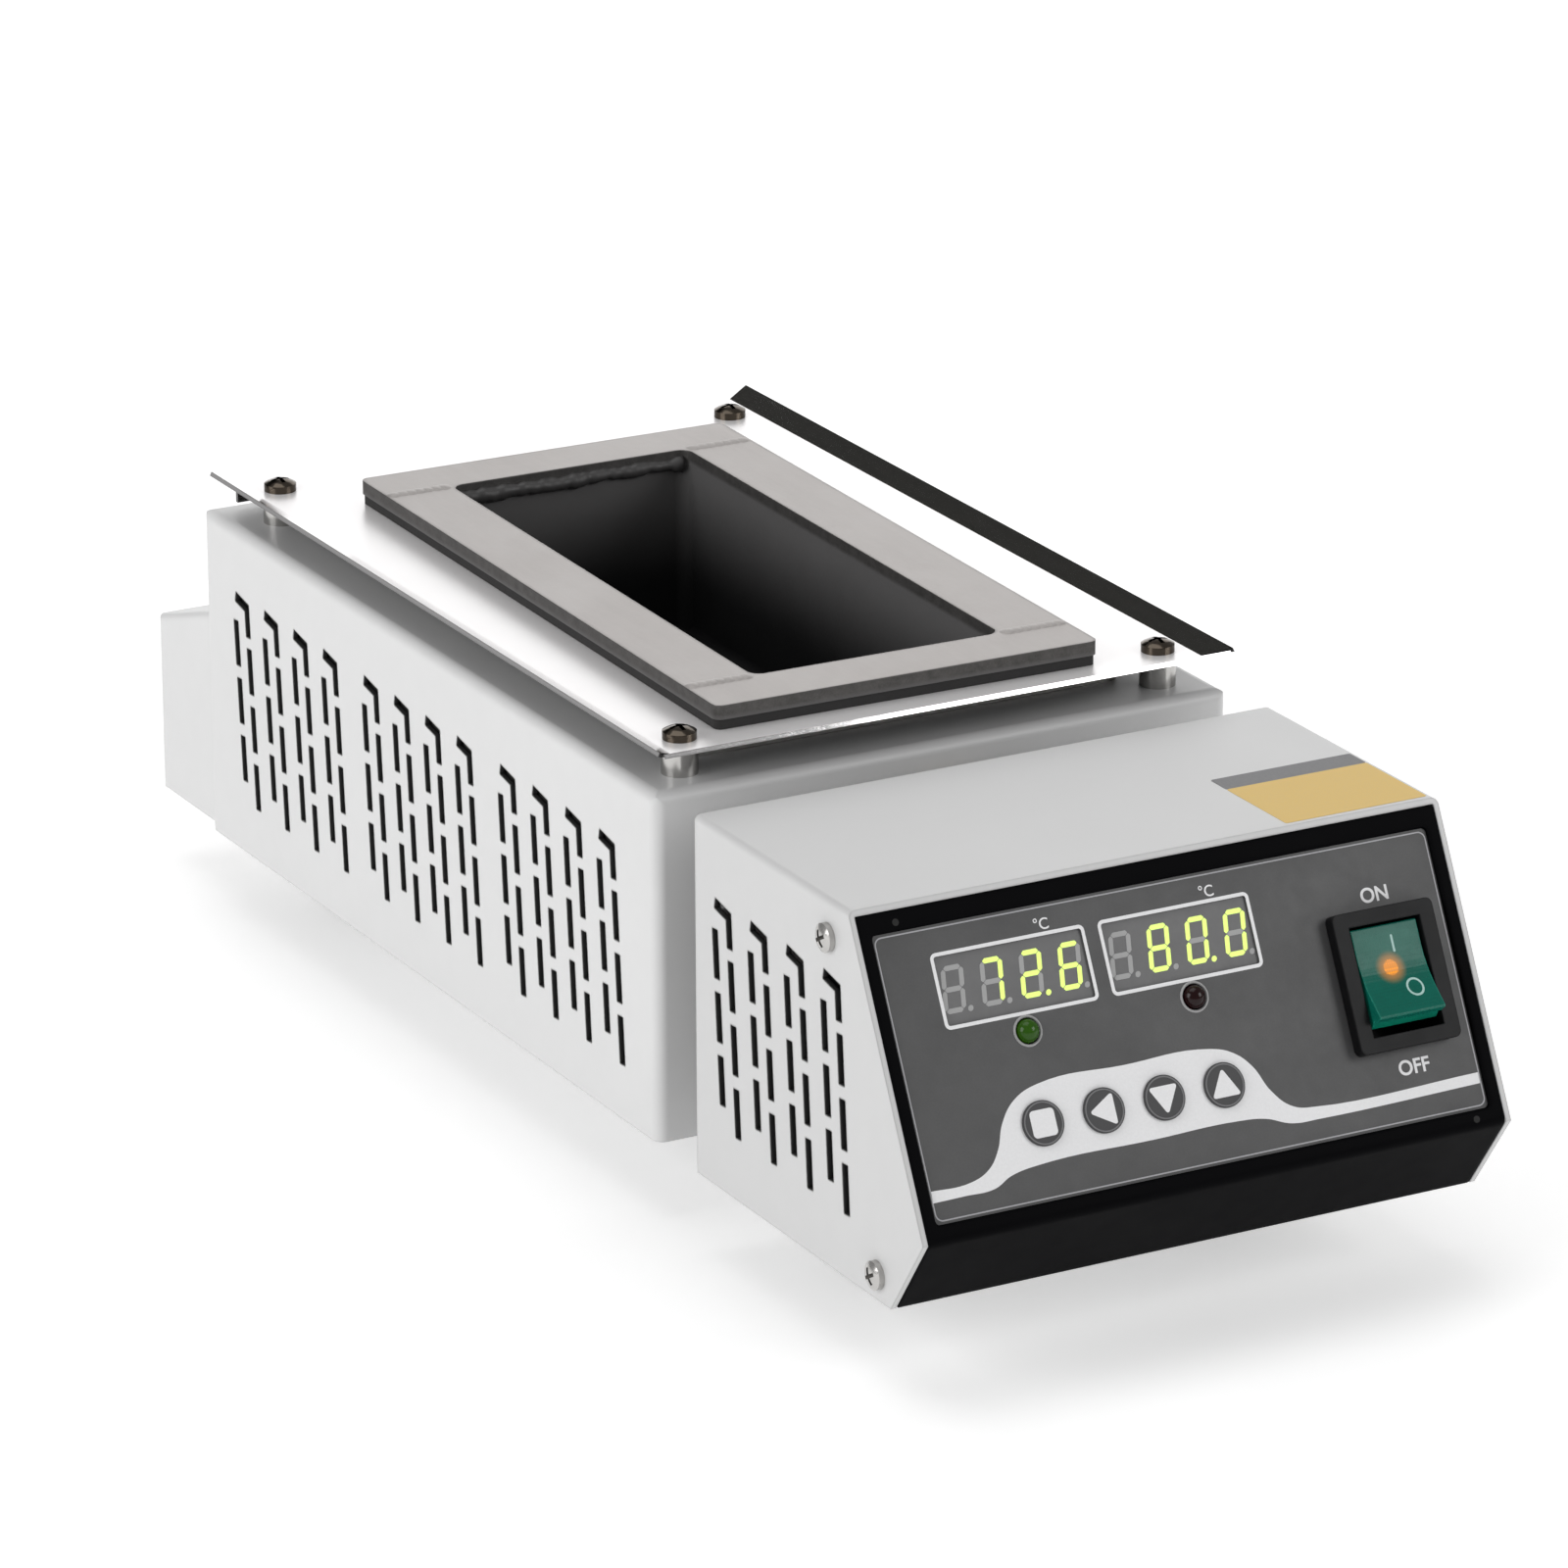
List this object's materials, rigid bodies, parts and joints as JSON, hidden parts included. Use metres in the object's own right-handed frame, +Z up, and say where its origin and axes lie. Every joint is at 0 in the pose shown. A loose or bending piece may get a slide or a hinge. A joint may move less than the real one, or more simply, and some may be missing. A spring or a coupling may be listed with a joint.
{
  "type": "solder pot",
  "caption": "Bench solder pot: a long pot in a polished tray on a slotted furnace housing, with a sloped control box in front and a low wiring box behind.",
  "frame": {"origin": "on the supporting surface, under the middle of the object's box", "axes": "+Z up, +Y from the control panel to the back, +X to the right of someone facing the panel"},
  "size_m": [0.1444, 0.375, 0.1105],
  "materials": {
    "housing_paint": "satin powder coat",
    "control_paint": "satin powder coat",
    "base_steel": "zinc plated",
    "tray_steel": "mirror polished",
    "pot_steel": "heat-stained, matt",
    "gasket": "matt",
    "liner_steel": "satin",
    "rest_ceramic": "matt",
    "heater_steel": "oxidised",
    "porcelain": "glazed",
    "wool": "matt black basalt fibre",
    "probe_steel": "satin",
    "brass": "bright",
    "bright_fasteners": "bright plated",
    "black_rubber": "matt",
    "panel_black": "satin",
    "overlay_grey": "satin printed film",
    "display_face": "smooth",
    "lamp_green": "translucent",
    "lamp_red": "translucent",
    "key_black": "satin",
    "switch_black": "satin",
    "rocker_green": "translucent",
    "board_green": "solder mask",
    "part_black": "matt",
    "heatsink_aluminium": "milled",
    "winding": "varnished",
    "fuse_glass": "clear"
  },
  "bodies": {
    "furnace": {"base_plate": "base_steel", "base_screws": "bright_fasteners", "rubber_feet": "black_rubber", "foot_screws": "bright_fasteners", "furnace_housing": "housing_paint", "top_plate": "tray_steel", "plate_standoffs": "bright_fasteners", "plate_screws": "bright_fasteners", "standoff_nuts": "bright_fasteners", "pot": "pot_steel", "pot_gasket": "gasket", "furnace_liner": "liner_steel", "liner_screws": "bright_fasteners", "pot_rests": "rest_ceramic", "heater_left": "heater_steel", "heater_right": "heater_steel", "heater_bushes": "porcelain", "insulation_base": "wool", "insulation_sides": "wool", "insulation_ends": "wool", "temperature_probe": "probe_steel", "probe_gland": "brass", "probe_bush": "black_rubber", "conduit_nipples": "bright_fasteners", "conduit_nuts": "bright_fasteners", "control_chassis": "control_paint", "control_cover": "control_paint", "cover_screws": "bright_fasteners", "front_panel": "panel_black", "panel_overlay": "overlay_grey", "display_left": "display_face", "display_right": "display_face", "heating_lamp": "lamp_green", "alarm_lamp": "lamp_red", "key_switches": "part_black", "control_board": "board_green", "board_spacers": "brass", "switch_body": "switch_black", "power_heatsink": "heatsink_aluminium", "power_triac": "part_black", "transformer": "winding", "rear_cover": "housing_paint", "terminal_block": "porcelain", "fuse_block": "porcelain", "fuse": "fuse_glass", "earth_stud": "brass", "cord_bush": "black_rubber"},
    "key_set": {"key_set": "key_black"},
    "key_back": {"key_back": "key_black"},
    "key_down": {"key_down": "key_black"},
    "key_up": {"key_up": "key_black"},
    "rocker": {"switch_rocker": "rocker_green"}
  },
  "joints": [
    {"name": "key_set_press", "type": "slide", "parent": "furnace", "child": "key_set", "axis": [0, 0.8933, -0.4495], "range_m": [0, 0.0005], "stiffness_N_per_m": 800, "springref_m": -0.0005},
    {"name": "key_back_press", "type": "slide", "parent": "furnace", "child": "key_back", "axis": [0, 0.8933, -0.4495], "range_m": [0, 0.0005], "stiffness_N_per_m": 800, "springref_m": -0.0005},
    {"name": "key_down_press", "type": "slide", "parent": "furnace", "child": "key_down", "axis": [0, 0.8933, -0.4495], "range_m": [0, 0.0005], "stiffness_N_per_m": 800, "springref_m": -0.0005},
    {"name": "key_up_press", "type": "slide", "parent": "furnace", "child": "key_up", "axis": [0, 0.8933, -0.4495], "range_m": [0, 0.0005], "stiffness_N_per_m": 800, "springref_m": -0.0005},
    {"name": "power_rocker", "type": "hinge", "parent": "furnace", "child": "rocker", "pos_m": [0.0496, -0.16936, 0.06573], "axis": [1, 0, 0], "range_deg": [0, 25]}
  ]
}
